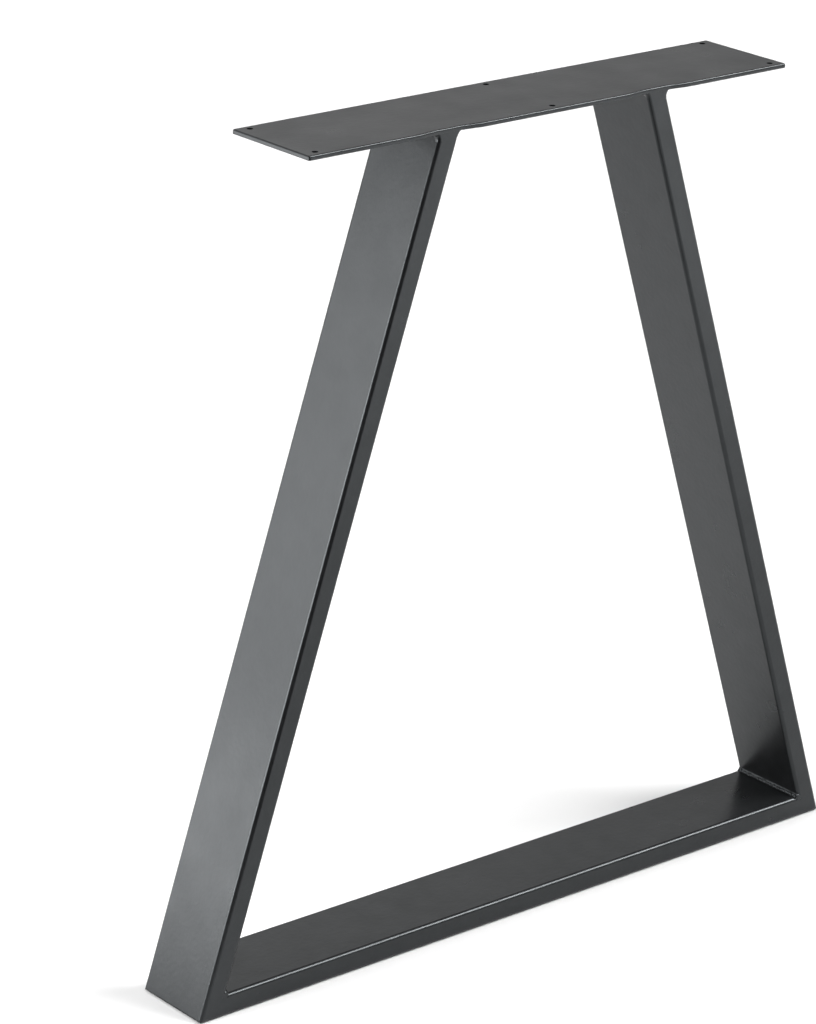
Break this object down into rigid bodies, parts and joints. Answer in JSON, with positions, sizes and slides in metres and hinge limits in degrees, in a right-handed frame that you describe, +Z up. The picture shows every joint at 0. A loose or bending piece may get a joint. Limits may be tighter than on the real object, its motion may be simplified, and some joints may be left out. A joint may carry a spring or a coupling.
{
  "type": "trapezoidal frame table leg",
  "caption": "Trapezoidal table leg of flat rectangular steel tube, mitred and welded wide at the floor, with a flat drilled plate on top that screws under a table top.",
  "frame": {"origin": "on the floor, in the middle of the floor rail's underside", "axes": "+X along the mounting plate and the floor rail, +Y to the side where the plate overhangs most, +Z up to the table top"},
  "size_m": [0.7182, 0.1, 0.73],
  "materials": {
    "powder_coat": "satin dark grey powder coat with a fine texture"
  },
  "bodies": {
    "root": {"mounting_plate": "powder_coat", "left_leg_tube": "powder_coat", "right_leg_tube": "powder_coat", "floor_rail_tube": "powder_coat", "left_mitre_weld": "powder_coat", "right_mitre_weld": "powder_coat", "left_front_plate_weld": "powder_coat", "right_front_plate_weld": "powder_coat", "left_back_plate_weld": "powder_coat", "right_back_plate_weld": "powder_coat"}
  },
  "joints": []
}
